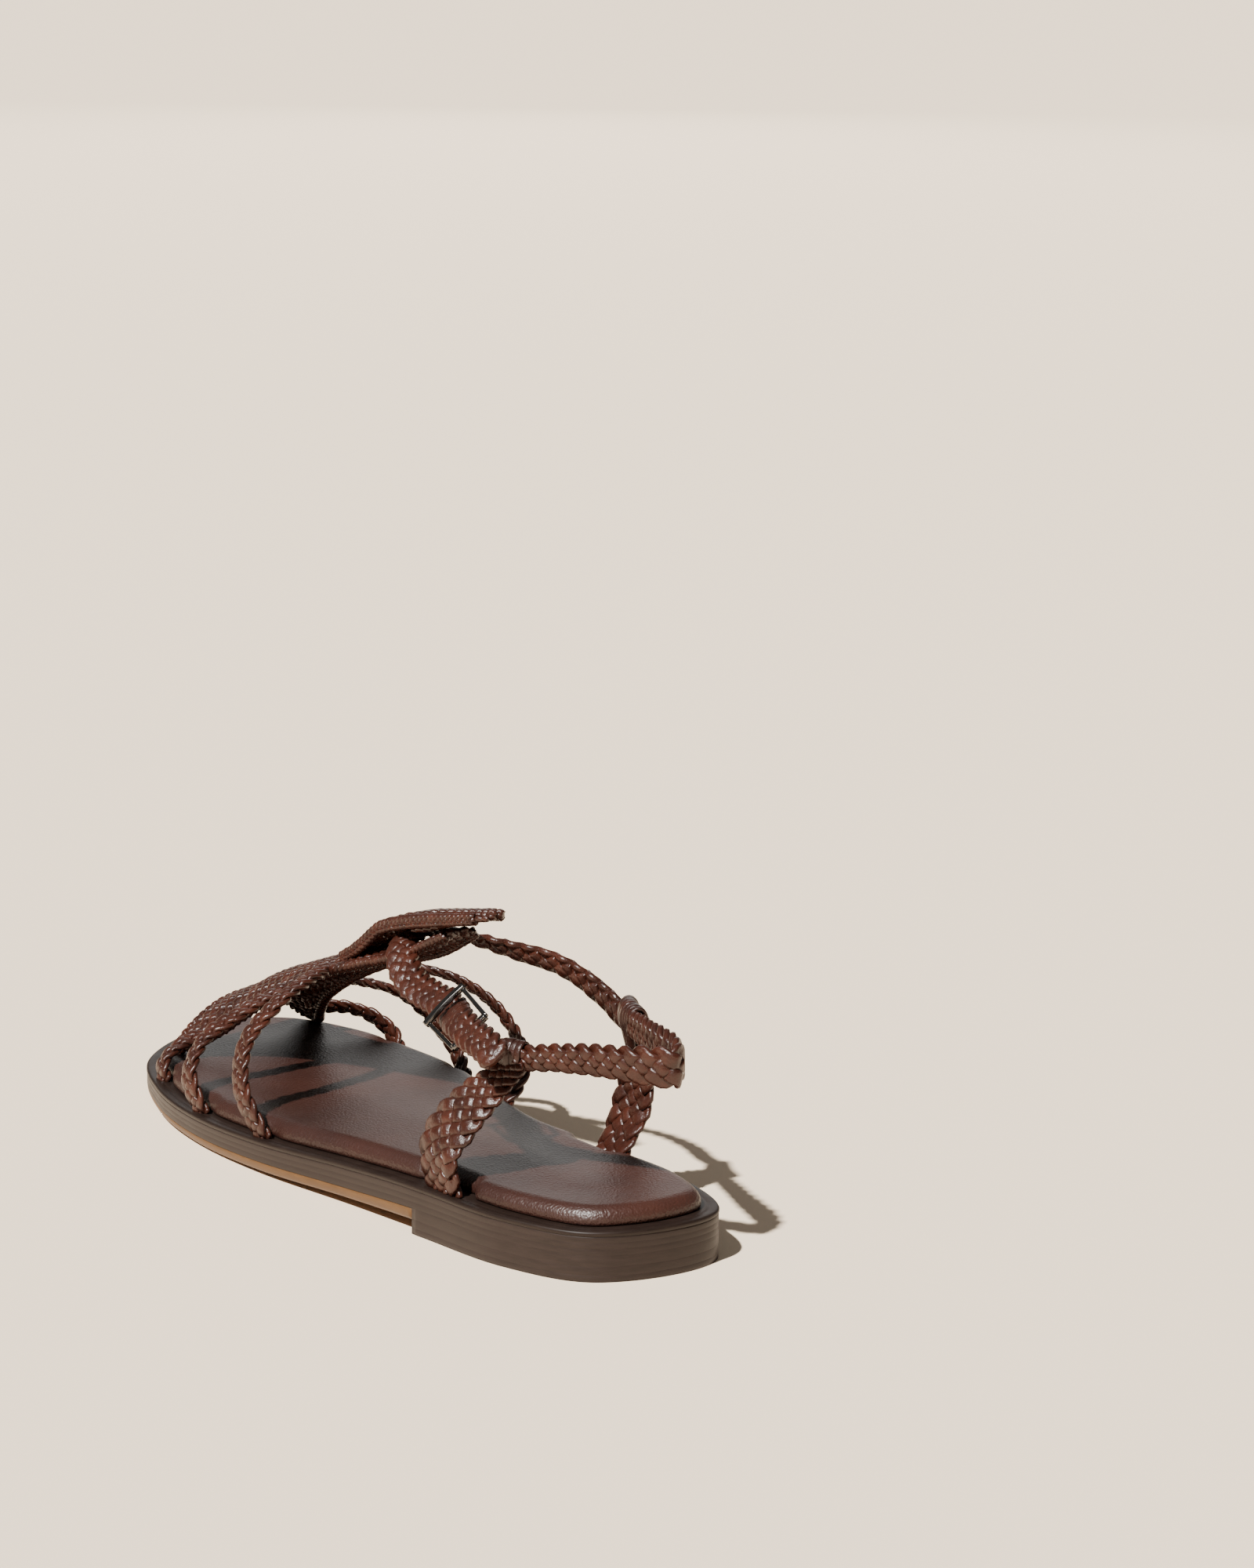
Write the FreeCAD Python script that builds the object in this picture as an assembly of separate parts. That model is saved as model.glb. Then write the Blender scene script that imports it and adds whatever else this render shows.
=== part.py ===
import FreeCAD, Part
import math
import os

# Left sandal of a pair, in millimetres. While it is built, Y runs from the back of the heel (0) to the
# toe, X points to the inner (medial) side of the foot and Z is up from the floor. At the end every part
# is moved by one shift, so that the origin is on the floor under the middle of the whole sandal.
LENGTH = 250.0
HEEL_LENGTH = 64.0            # back of the heel to the front face of the heel block
HEEL_HEIGHT = 6.9             # underside of the midsole above the floor
TOP_PIECE_THICK = 1.7
LOWER_LIFT_THICK = 2.3
WELT_THICK = 1.4
WELT_WIDTH = 9.0
FOOTBED_INSET = 4.5           # footbed edge in from the edge of the sole
FOOTBED_ROLL = 2.4            # radius of the footbed's rolled rim
COVER_THICK = 1.2
BOARD_GAP = 0.3
SHANK_SIZE = (86.0, 11.0, 1.0)
SHANK_DEPTH = 0.4             # top of the shank below the insole board
NAIL_RADIUS = 1.0
NAIL_LENGTH = 9.0

TOE_STRAP_WIDTH = 7.0
TOE_STRAP_THICK = 2.6
QUARTER_THICK = 2.8
STRAP_THICK = 3.0
STRAP_WIDTH = 8.0
BUCKLED_WIDTH = 9.4           # the outer half of the ankle strap, through the buckle
TAIL_START = 0.93             # the smooth tip starts at this share of the outer half
TIP_WIDTH = 7.0
PANEL_THICK = 2.6
TONGUE_THICK = 2.6
TONGUE_DROP = 1.3             # its edges hang this far below its middle
TONGUE_LEAN = 0.02            # sideways drift towards the outer side, for each millimetre of length
EDGE_STANDOFF = 1.9           # strap centre line out from the footbed's edge

LOOP_WALL = 1.5
LOOP_BACK = (7.6, 5.6)        # height and width of the loop's mouth, where the sling swings
LOOP_FRONT = (6.8, 3.0)       # the same where the fixed strap comes out
LOOP_SPAN = (-1.6, 4.5)       # ends of a loop, measured forwards from the swing axis
LOOP_REACH = 5.3              # quarter straps stop at this radius about the swing axis
SWING_CLEAR = 3.0             # fixed straps inside the loops stop at this radius

BUCKLE_WIDTHS = (13.4, 14.6)  # at the heel bar and at the front bar
BUCKLE_BAR = 2.2
RAIL_RADIUS = 0.85
BUCKLE_WRAP = 1.6             # thickness of the strap folded round the heel bar
WRAP_WIDTH = 7.6
BAR_CLEAR = 0.06              # the heel bar turns in the fold
BUCKLE_GAP = 0.7              # the strap keeps this far from the front bar

V = FreeCAD.Vector

# Sole outline seen from above, from the back of the heel round the outer side, the toe and the inner side.
OUTLINE = [(0, 0), (-21, 5), (-32.2, 27), (-36.8, 59), (-40.6, 94), (-45.6, 134), (-45.6, 168),
           (-39.8, 200), (-26.5, 230), (2, 250), (25.5, 242), (38, 218), (41, 188), (39.4, 160),
           (30.5, 126), (23.2, 90), (23.6, 60), (25.2, 28), (17.8, 6)]

# Heights along the sole as (y, z): underside, top of the outsole, top of the welt, top of the footbed.
UNDERSIDE = [(0, 3.4), (30, 3.3), (HEEL_LENGTH, 2.9), (95, 2.0), (130, 0.8), (165, 0.0), (185, 0.0),
             (215, 0.5), (LENGTH, 1.8)]
OUTSOLE_TOP = [(0, HEEL_HEIGHT), (30, HEEL_HEIGHT), (HEEL_LENGTH, 6.8), (95, 5.4), (130, 4.0), (170, 2.9),
               (200, 2.8), (LENGTH, 4.2)]
WELT_TOP = [(0, 13.0), (40, 13.0), (70, 12.9), (95, 11.7), (130, 9.8), (170, 8.3), (200, 7.8), (LENGTH, 8.2)]
FOOTBED_TOP = [(0, 18.0), (40, 17.6), (70, 17.7), (95, 16.6), (130, 14.6), (170, 12.8), (200, 12.1),
               (LENGTH, 12.3)]

# The heel strap swings about a line through the two quarter loops.
INNER_LOOP = V(24.5, 59.5, 50.0)
OUTER_LOOP = V(-18.7, 46.2, 48.0)

INSTEP = V(0, 127.5, 62.3)      # where the ankle strap crosses the middle of the foot, under the tongue


def spline(points, closed=False):
    curve = Part.BSplineCurve()
    curve.interpolate(Points=points, PeriodicFlag=closed)
    return curve


def outline_curve(inset=0.0):
    """The sole outline moved inwards along its own normals."""
    base = spline([V(x, y, 0) for x, y in OUTLINE], True)
    if inset == 0.0:
        return base
    moved = []
    for x, y in OUTLINE:
        point = V(x, y, 0)
        tangent = base.tangent(base.parameter(point))[0]
        moved.append(point + V(-tangent.y, tangent.x, 0).normalize() * -inset)
    return spline(moved, True)


def prism(inset, low=-5.0, high=60.0):
    wire = Part.Wire(outline_curve(inset).toShape())
    wire.translate(V(0, 0, low))
    return Part.Face(wire).extrude(V(0, 0, high - low))


def height_at(profile, y):
    """Height of a lengthwise profile at y."""
    curve = spline([V(0, a, b) for a, b in profile])
    cut = Part.Line(V(0, y, -50), V(0, y, 50)).toShape(-200, 200)
    return curve.toShape().distToShape(cut)[1][0][0].z


def slab(low, high):
    """Solid between two lengthwise profiles, wider than the sole."""
    half = 70.0
    reach = 3.0
    front = [low[0][0], low[-1][0]]
    lower = [(front[0] - reach, low[0][1])] + low + [(front[1] + reach, low[-1][1])]
    upper = [(front[0] - reach, high[0][1])] + high + [(front[1] + reach, high[-1][1])]
    bottom = spline([V(-half, y, z) for y, z in lower]).toShape()
    top = spline([V(-half, y, z) for y, z in upper]).toShape()
    ends = [Part.makeLine(bottom.valueAt(e), top.valueAt(f))
            for e, f in ((bottom.FirstParameter, top.FirstParameter),
                         (bottom.LastParameter, top.LastParameter))]
    wire = Part.Wire(Part.__sortEdges__([bottom, top] + ends))
    return Part.Face(wire).extrude(V(2 * half, 0, 0))


def shifted(profile, dz):
    return [(y, z + dz) for y, z in profile]


def half_width(y, side, inset=0.0):
    """Signed x of the sole's edge at y, on the inner (+1) or outer (-1) side."""
    edge = outline_curve(inset).toShape()
    reach = Part.makeLine(V(0, y, 0), V(side * 80, y, 0))
    return edge.distToShape(reach)[1][0][0].x


# ---- sole -------------------------------------------------------------------------------------------

def make_outsole():
    body = prism(0.0).common(slab(UNDERSIDE, OUTSOLE_TOP))
    heel = Part.makeBox(200, HEEL_LENGTH + 50, 60, V(-100, -50, -10))
    return body.cut(heel)


def make_midsole():
    body = prism(0.0).common(slab(OUTSOLE_TOP, shifted(WELT_TOP, -WELT_THICK)))
    return body.cut(make_shank())


def make_welt():
    body = prism(0.6).common(slab(shifted(WELT_TOP, -WELT_THICK), WELT_TOP))
    return body.cut(prism(WELT_WIDTH))


def make_insole_board():
    return prism(WELT_WIDTH + BOARD_GAP).common(slab(shifted(WELT_TOP, -WELT_THICK), WELT_TOP))


def make_shank():
    """Steel strip let into the top of the midsole under the waist."""
    length, width, thick = SHANK_SIZE
    middle = 92.0
    side = V(-8.0 - width / 2, 0, 0)
    points = []
    for step in (-0.5, -0.17, 0.17, 0.5):
        y = middle + step * length
        points.append(V(0, y, height_at(WELT_TOP, y) - WELT_THICK - SHANK_DEPTH) + side)
    top = spline(points).toShape()
    bottom = spline([p - V(0, 0, thick) for p in points]).toShape()
    ends = [Part.makeLine(p, p - V(0, 0, thick)) for p in (points[0], points[-1])]
    wire = Part.Wire(Part.__sortEdges__([top, bottom] + ends))
    return Part.Face(wire).extrude(V(width, 0, 0))


def heel_layer(low, high):
    return prism(0.0).common(Part.makeBox(200, HEEL_LENGTH + 50, high - low, V(-100, -50, low)))


def make_heel():
    step = TOP_PIECE_THICK + LOWER_LIFT_THICK
    return {"heel_top_piece": heel_layer(0.0, TOP_PIECE_THICK),
            "heel_lift_lower": heel_layer(TOP_PIECE_THICK, step),
            "heel_lift_upper": heel_layer(step, HEEL_HEIGHT + 1).cut(make_upper_sole())}


def make_upper_sole():
    """Everything above the underside of the midsole."""
    return slab(OUTSOLE_TOP, shifted(FOOTBED_TOP, 10))


def make_heel_nails():
    """Six nails driven up through the lifts into the midsole."""
    nails = []
    for x, y in ((-25, 52), (-24, 32), (-12, 14), (4, 13), (14, 31), (12, 52)):
        nails.append(Part.makeCylinder(NAIL_RADIUS, NAIL_LENGTH, V(x, y, TOP_PIECE_THICK)))
    return Part.makeCompound(nails)


def make_footbed():
    """Padded footbed: a core wrapped over its top and sides by a leather cover with a rolled rim."""
    outer = prism(FOOTBED_INSET).common(slab(WELT_TOP, FOOTBED_TOP))
    rim = [e for e in outer.Edges if e.BoundBox.ZMin > height_at(FOOTBED_TOP, 200) - 0.8
           and e.BoundBox.ZLength > 1.0 and e.BoundBox.ZMax > 17.0 and e.Length > 100]
    outer = outer.makeFillet(FOOTBED_ROLL, rim)
    core = prism(FOOTBED_INSET + COVER_THICK).common(slab(WELT_TOP, shifted(FOOTBED_TOP, -COVER_THICK)))
    core = core.common(outer)
    return {"footbed_core": core, "footbed_cover": outer.cut(core)}


# ---- straps -----------------------------------------------------------------------------------------

def stadium(centre, across, normal, width, thick):
    """Closed section: two straight sides and two round ends."""
    flat_half = across * (width / 2 - thick / 2)
    up = normal * (thick / 2)
    out = across * (width / 2)
    a, b = centre - flat_half + up, centre + flat_half + up
    c, d = centre + flat_half - up, centre - flat_half - up
    return Part.Wire([Part.makeLine(a, b), Part.Arc(b, centre + out, c).toShape(),
                      Part.makeLine(c, d), Part.Arc(d, centre - out, a).toShape()])


def strap(points, width, thick, outward, sections=9, span=(0.0, 1.0)):
    """Flat strap along a smooth path, or along the given span of it. width is one number or a list spread
    evenly along it, and outward(point) gives the side that the strap's outer face looks to."""
    path = spline([V(*p) for p in points])
    start, end = path.FirstParameter, path.LastParameter
    first, last = start + (end - start) * span[0], start + (end - start) * span[1]
    widths = width if isinstance(width, list) else [width, width]
    wires = []
    for i in range(sections):
        share = i / (sections - 1)
        at = first + (last - first) * share
        place, along = path.value(at), path.tangent(at)[0]
        across = outward(place).cross(along).normalize()
        normal = along.cross(across).normalize()
        slot = share * (len(widths) - 1)
        k = min(int(slot), len(widths) - 2)
        wide = widths[k] + (widths[k + 1] - widths[k]) * (slot - k)
        wires.append(stadium(place, across, normal, wide, thick))
    return Part.makeLoft(wires, True, False)


def from_foot_axis(x, z):
    """Outward direction away from a line along the foot."""
    return lambda p: V(p.x - x, 0, p.z - z)


def from_ankle(p):
    return V(p.x - 4, p.y - 58, 0)


def strap_foot(y, side, drop=0.7):
    """Where a strap meets the sole, between the footbed's edge and the sole's edge."""
    x = half_width(y, side, FOOTBED_INSET) + side * EDGE_STANDOFF
    return (x, y, height_at(WELT_TOP, y) - drop)


def make_toe_straps():
    """Three straps on each side, from the sole's edge to the underside of the woven panel."""
    outer = {
        1: [strap_foot(205, -1), (-33.5, 208.5, 12), (-27, 210, 16.2), (-20.5, 209.5, 18.6)],
        2: [strap_foot(168, -1), (-44, 173, 17.5), (-37, 178, 25.5), (-26, 178, 31.5), (-10.8, 179.5, 36.8)],
        3: [strap_foot(133, -1), (-45.5, 140, 21), (-40.5, 147, 32.3), (-30, 149, 41.2), (-9.2, 160, 45.6)]}
    inner = {
        1: [strap_foot(202, 1), (37.3, 207, 12.4), (32.5, 210.8, 17.2), (26.0, 213.5, 19.5),
        (18.5, 216.5, 20.0)],
        2: [strap_foot(164, 1), (39, 174.5, 15), (35, 183, 23.5), (26, 186, 30.3), (11.5, 186.5, 35.2)],
        3: [strap_foot(131, 1), (36.8, 133, 19), (36.3, 143, 31), (26, 149, 40.8), (9.2, 157, 46.3)]}
    parts = {}
    for name, routes in (("lateral_toe_strap", outer), ("medial_toe_strap", inner)):
        for number, route in routes.items():
            parts["%s_%d" % (name, number)] = strap(route, TOE_STRAP_WIDTH, TOE_STRAP_THICK,
                                                    from_foot_axis(0, 10))
    return parts


def make_quarter_straps():
    """Wide braids that rise from the waist to the loops of the ankle strap."""
    wide = [18.0, 18.5, 15.0, 10.0, 7.5]
    outer = strap([strap_foot(55, -1), (-34.8, 55, 24), (-30.0, 51, 34), (-23.8, 47, 41.5),
                   (-18.9, 46.2, 47)], wide, QUARTER_THICK, lambda p: V(-1, 0, 0.1))
    inner = strap([strap_foot(62, 1), (27.2, 63.5, 23), (29, 63, 32), (28, 61, 40), (24.7, 59.6, 47)],
                  wide, QUARTER_THICK, lambda p: V(1, 0, 0.1))
    top = axis_cylinder(LOOP_REACH)
    return {"lateral_quarter_strap": outer.cut(top), "medial_quarter_strap": inner.cut(top)}


def swing_axis():
    return (INNER_LOOP - OUTER_LOOP).normalize()


def axis_cylinder(radius):
    """Cylinders about the swing axis, one round each loop."""
    axis = swing_axis()
    pieces = [Part.makeCylinder(radius, 24, loop - axis * 12, axis) for loop in (INNER_LOOP, OUTER_LOOP)]
    return pieces[0].fuse(pieces[1])


def loop_forward(loop):
    """Horizontal direction in which the fixed strap leaves a loop."""
    if loop == INNER_LOOP:
        return V(6, 10.5, 0).normalize()
    return V(-3.2, 15.6, 0).normalize()


def make_heel_strap():
    """Sling round the back of the heel, with its narrowed ends inside the two loops."""
    inner_end = INNER_LOOP + loop_forward(INNER_LOOP)
    outer_end = OUTER_LOOP + loop_forward(OUTER_LOOP)
    route = [inner_end, (22.4, 55, 50.2), (18, 42, 50.9), (13.4, 27, 51.4), (9.4, 13.5, 51.6),
             (4.2, 5.5, 51.6), (-1.0, 12, 51.2), (-6, 23, 50.5), (-12, 34.8, 49.5), (-17.6, 43.6, 48.2),
             outer_end]
    wide = [4.4, 4.6, 8.0, 9.5, 10.5, 11.0, 10.5, 9.5, 8.0, 4.6, 4.4]
    return strap(route, wide, STRAP_THICK, from_ankle, 21)


def make_loop(loop):
    """Band of strands that holds the sling: a short tube, wide at the back and close at the front."""
    along = loop_forward(loop)
    across = V(0, 0, 1)
    side = along.cross(across).normalize()
    solids = []
    for wall in (LOOP_WALL, 0.0):
        wires = [stadium(loop + along * at, across, side, tall + 2 * wall, thick + 2 * wall)
                 for at, (tall, thick) in zip(LOOP_SPAN, (LOOP_BACK, LOOP_FRONT))]
        solids.append(Part.makeLoft(wires, True, True))
    return solids[0].cut(solids[1])


def facing_buckle(p):
    """Outward direction for the outer half of the ankle strap: it turns to lie flat in the buckle."""
    frame = buckle_frame_axes()
    share = (p.y - frame["front"].y) / (INSTEP.y - frame["front"].y)
    share = min(max(share, 0.0), 1.0)
    return frame["out"] * (1 - share) + from_foot_axis(2, 25)(p).normalize() * share


def make_ankle_straps():
    """One strap from the inner loop, over the tongue, under the buckle's front bar and over its heel bar to
    the free tail, kept as an inner part, an outer part and the smooth tip."""
    frame = buckle_frame_axes()
    heel, front, along, out = frame["heel"], frame["front"], frame["along"], frame["out"]
    under = BUCKLE_BAR / 2 + STRAP_THICK / 2 + BUCKLE_GAP
    over = BUCKLE_BAR / 2 + BUCKLE_WRAP + STRAP_THICK / 2 + 0.1
    forward = loop_forward(INNER_LOOP)
    inner = [INNER_LOOP + forward * SWING_CLEAR, INNER_LOOP + forward * 6.0, (31.0, 73, 46.8),
             (31.2, 84, 50.2), (26.5, 97, 55.8), (17.5, 112.5, 58.6), (8, 123.5, 61.4), INSTEP]
    outer = [INSTEP, (-8, 121.5, 58.6), (-11.6, 109, 53), front + along * 9 - out * (under + 0.4),
             front + along * 1.0 - out * under, heel + along * 9 + out * 1.2, heel + out * over,
             heel - along * 8 + out * (over - 0.2), (-28.0, 45, 53), (-28.4, 37, 51)]
    body = strap(inner, [6.8, 8, 8, 8, 8, 8], STRAP_THICK, from_foot_axis(2, 25), 17)
    wide = [STRAP_WIDTH, BUCKLED_WIDTH, BUCKLED_WIDTH, BUCKLED_WIDTH]
    tail = strap(outer, wide, STRAP_THICK, facing_buckle, 27, (0, TAIL_START))
    tip = strap(outer, [BUCKLED_WIDTH, BUCKLED_WIDTH, TIP_WIDTH], STRAP_THICK, facing_buckle, 4,
                (TAIL_START, 1))
    return {"ankle_strap_medial": body, "ankle_strap_lateral": tail, "strap_tip": tip}


def make_buckle_strap():
    """Short strap from the outer loop up to the buckle's heel bar, folded round the bar, under the tail."""
    frame = buckle_frame_axes()
    heel, along, out, wide = frame["heel"], frame["along"], frame["out"], frame["wide"]
    forward = loop_forward(OUTER_LOOP)
    route = [OUTER_LOOP + forward * SWING_CLEAR, OUTER_LOOP + forward * 6.0, heel - along * 5 - out * 0.6,
             heel - along * 1.5 - out * 1.0]
    body = strap(route, [6.8, WRAP_WIDTH, WRAP_WIDTH], 2.6, from_foot_axis(2, 25), 7)
    fold = BUCKLE_BAR / 2 + BUCKLE_WRAP
    body = body.fuse(Part.makeCylinder(fold, WRAP_WIDTH, heel - wide * (WRAP_WIDTH / 2), wide))
    return body.cut(Part.makeCylinder(BUCKLE_BAR / 2 + BAR_CLEAR, 40, heel - wide * 20, wide))


# ---- woven panel ------------------------------------------------------------------------------------

def panel_section(y, skew, x, top, half, drop, thick):
    """Arched cross-section: half is its half width and drop is how far its edges hang below its middle."""
    lean = 2 * math.atan2(drop, half)
    ends = [(x + s * half, top - drop) for s in (-1, 1)]
    lower = [(px - s * thick * math.sin(lean), pz - thick * math.cos(lean))
             for (px, pz), s in zip(ends, (-1, 1))]

    def at(px, pz):
        return V(px, y + skew * px, pz)
    a, b = at(*ends[0]), at(*ends[1])
    d, c = at(*lower[0]), at(*lower[1])
    return Part.Wire([Part.Arc(a, at(x, top), b).toShape(), Part.makeLine(b, c),
                      Part.Arc(c, at(x, top - thick), d).toShape(), Part.makeLine(d, a)])


def make_panel():
    """Woven panel: wide over the toes, narrowing to a short end under the tongue."""
    stations = [(227, 0.27, 1, 24.5, 26.0, 12.0), (219, 0.27, 0.5, 27.8, 24.5, 12.8),
                (210, 0.27, 0.5, 31.5, 19.0, 11.5), (200, 0.27, 0.5, 36.3, 15.0, 9.5),
                (184, 0.2, 0.5, 42.0, 12.0, 6.5), (165, 0.05, 0.5, 48.3, 10.5, 4.0),
                (145, 0.0, 0.5, 53.8, 8.8, 3.0), (124, 0.0, 0.0, 59.6, 7.4, 2.4),
                (103, 0.0, -0.4, 66.2, 5.4, 1.6)]
    wires = [panel_section(*s, PANEL_THICK) for s in stations]
    return Part.makeLoft(wires, True, False)


def make_tongue():
    """Upper layer of the weave: it leaves the panel, bridges the ankle strap and ends in a free tip."""
    stations = [(158, 51.9, 6.0), (150, 55.2, 6.6), (143, 59.3, 6.8), (136, 63.9, 6.9), (127.5, 66.9, 6.9),
                (115, 70.2, 6.3), (100, 73.4, 5.3), (84, 76.6, 3.4)]
    start = stations[0][0]
    wires = [panel_section(y, 0.0, TONGUE_LEAN * (y - start), top, half, TONGUE_DROP, TONGUE_THICK)
             for y, top, half in stations]
    return Part.makeLoft(wires, True, False)


# ---- buckle -----------------------------------------------------------------------------------------

def buckle_frame_axes():
    """Heel bar centre and the buckle's directions: along the strap to the front bar, across, and out."""
    heel = V(-21.9, 61.8, 51.4)
    front = V(-17.8, 81.2, 53.6)
    along = (front - heel).normalize()
    out = V(-0.72, 0, 0.69)
    wide = along.cross(out).normalize()
    return {"heel": heel, "front": front, "along": along, "wide": wide, "out": wide.cross(along).normalize()}


def make_buckle_frame():
    """Slide frame: a heel bar, a wider front bar and two rails between them."""
    frame = buckle_frame_axes()
    back, front = BUCKLE_WIDTHS[0] / 2 - RAIL_RADIUS, BUCKLE_WIDTHS[1] / 2 - BUCKLE_BAR / 2
    wide = frame["wide"]
    pieces = [Part.makeCylinder(BUCKLE_BAR / 2, 2 * back, frame["heel"] - wide * back, wide),
              Part.makeCylinder(BUCKLE_BAR / 2, 2 * front, frame["front"] - wide * front, wide)]
    for s in (-1, 1):
        start, end = frame["heel"] + wide * (s * back), frame["front"] + wide * (s * front)
        pieces.append(Part.makeCylinder(RAIL_RADIUS, (end - start).Length, start, end - start))
        pieces += [Part.makeSphere(BUCKLE_BAR / 2, p) for p in (start, end)]
    body = pieces[0]
    for piece in pieces[1:]:
        body = body.fuse(piece)
    return body.removeSplitter()


def carve(shape, *others):
    """What is left of a shape outside the others, without loose scraps."""
    for other in others:
        shape = max(shape.cut(other).Solids, key=lambda solid: solid.Volume)
    return shape


def build():
    parts = {"outsole": make_outsole(), "midsole": make_midsole(), "welt": make_welt(),
             "insole_board": make_insole_board(), "shank": make_shank(), "heel_nails": make_heel_nails()}
    parts.update(make_heel())
    for name in ("midsole", "heel_lift_lower", "heel_lift_upper"):
        parts[name] = parts[name].cut(parts["heel_nails"])
    parts.update(make_footbed())
    parts["vamp_panel"] = carve(make_panel(), parts["footbed_cover"])
    parts.update(make_toe_straps())
    for name, shape in make_quarter_straps().items():
        parts[name] = carve(shape, parts["welt"], parts["midsole"])
    parts["heel_strap"] = make_heel_strap()
    parts["medial_quarter_loop"] = make_loop(INNER_LOOP)
    parts["lateral_quarter_loop"] = make_loop(OUTER_LOOP)
    parts.update(make_ankle_straps())
    parts["buckle_strap"] = make_buckle_strap()
    parts["tongue"] = make_tongue()
    parts["buckle_frame"] = make_buckle_frame()
    return parts


def extent(parts):
    """Tight bounding box of the whole sandal."""
    box = None
    for shape in parts.values():
        one = shape.optimalBoundingBox(False, False)
        if box is None:
            box = one
        else:
            box.add(one)
    return box


def main():
    os.makedirs("parts", exist_ok=True)
    parts = build()
    box = extent(parts)
    shift = V(-box.Center.x, -box.Center.y, -box.ZMin)
    print("shift", tuple(shift), "size", box.XLength, box.YLength, box.ZLength)
    for name, shape in parts.items():
        shape.translate(shift)
        print("%-24s solids %d valid %s volume %.0f"
              % (name, len(shape.Solids), shape.isValid(), shape.Volume))
        shape.exportStep("parts/%s.step" % name)


main()
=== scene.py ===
import math
import random

import bmesh
import bpy
import numpy as np
from mathutils import Matrix, Vector


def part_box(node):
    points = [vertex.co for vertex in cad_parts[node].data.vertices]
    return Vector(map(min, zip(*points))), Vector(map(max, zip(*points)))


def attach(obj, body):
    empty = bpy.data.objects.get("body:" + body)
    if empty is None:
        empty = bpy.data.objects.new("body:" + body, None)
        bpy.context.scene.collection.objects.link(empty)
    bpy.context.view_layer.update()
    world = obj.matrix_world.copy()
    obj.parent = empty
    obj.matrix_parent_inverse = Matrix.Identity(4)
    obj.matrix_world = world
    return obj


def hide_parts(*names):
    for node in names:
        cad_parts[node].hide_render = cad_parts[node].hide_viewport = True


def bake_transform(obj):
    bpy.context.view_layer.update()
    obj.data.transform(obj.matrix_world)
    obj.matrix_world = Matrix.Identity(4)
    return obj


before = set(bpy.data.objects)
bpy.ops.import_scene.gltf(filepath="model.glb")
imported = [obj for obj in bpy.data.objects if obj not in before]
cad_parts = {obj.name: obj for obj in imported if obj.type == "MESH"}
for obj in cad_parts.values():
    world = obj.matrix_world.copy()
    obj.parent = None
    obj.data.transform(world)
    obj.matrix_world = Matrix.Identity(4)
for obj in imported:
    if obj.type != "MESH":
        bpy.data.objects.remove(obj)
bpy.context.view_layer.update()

MM = 0.001

# The pieces are laid out in the shoemaker's measure: millimetres from the back of the heel (y 0) towards
# the toe, x 0 through the middle of the tongue, z 0 on the floor. BASE is that point in the frame.
SOLE_INNER_REACH = 41.02         # the sole's widest point on the inner side
SOLE_MIDDLE = 124.77             # half way between the ends of the sole
sole_low, sole_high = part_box("midsole")
BASE = np.array([sole_high[0] - SOLE_INNER_REACH * MM, (sole_low[1] + sole_high[1]) / 2 - SOLE_MIDDLE * MM,
                 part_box("heel_top_piece")[0][2]])

SHOE = "shoe"
BUCKLE = "buckle"

FOOTBED_INSET = 4.5
WELT_THICK = 1.4
HEEL_LENGTH = 64.0
TOP_PIECE_TOP = 1.7              # heights of the heel's layers above the floor
LOWER_LIFT_TOP = 4.0
HEEL_HEIGHT = 6.9

# The sole seen from above, as (x, y), then heights along it, as (y, z).
OUTLINE = [(0, 0), (-21, 5), (-32.2, 27), (-36.8, 59), (-40.6, 94), (-45.6, 134), (-45.6, 168),
           (-39.8, 200), (-26.5, 230), (2, 250), (25.5, 242), (38, 218), (41, 188), (39.4, 160),
           (30.5, 126), (23.2, 90), (23.6, 60), (25.2, 28), (17.8, 6)]
UNDERSIDE = [(0, 3.4), (30, 3.3), (64, 2.9), (95, 2.0), (130, 0.8), (165, 0.0), (185, 0.0), (215, 0.5),
             (250, 1.8)]
OUTSOLE_TOP = [(0, 6.9), (30, 6.9), (64, 6.8), (95, 5.4), (130, 4.0), (170, 2.9), (200, 2.8), (250, 4.2)]
WELT_TOP = [(0, 13.0), (40, 13.0), (70, 12.9), (95, 11.7), (130, 9.8), (170, 8.3), (200, 7.8), (250, 8.2)]
FOOTBED_TOP = [(0, 18.0), (40, 17.6), (70, 17.7), (95, 16.6), (130, 14.6), (170, 12.8), (200, 12.1),
               (250, 12.3)]

# Middles of the two loops that hold the ankle strap and the heel strap, and of the buckle's two bars.
INNER_LOOP = np.array([24.5, 59.5, 50.0])
OUTER_LOOP = np.array([-18.7, 46.2, 48.0])
INSTEP = (0, 127.5, 62.3)        # where the ankle strap crosses the middle of the foot
BUCKLE_HEEL = np.array([-21.9, 61.8, 51.4])
BUCKLE_FRONT = np.array([-17.8, 81.2, 53.6])


# ---- curves and meshes ------------------------------------------------------------------------------

def unit(v):
    v = np.asarray(v, float)
    return v / np.maximum(np.linalg.norm(v, axis=-1, keepdims=True), 1e-9)


def run_along(path):
    """Distance from the path's start to each of its points."""
    return np.concatenate([[0], np.cumsum(np.linalg.norm(np.diff(path, axis=0), axis=1))])


CENTRIPETAL = 0.5                # power of the distance that spaces a curve's knots, so that it never loops
SPAN_STEPS = 24                  # fine steps between two points of a curve
FEWEST_STEPS = 4


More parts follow.
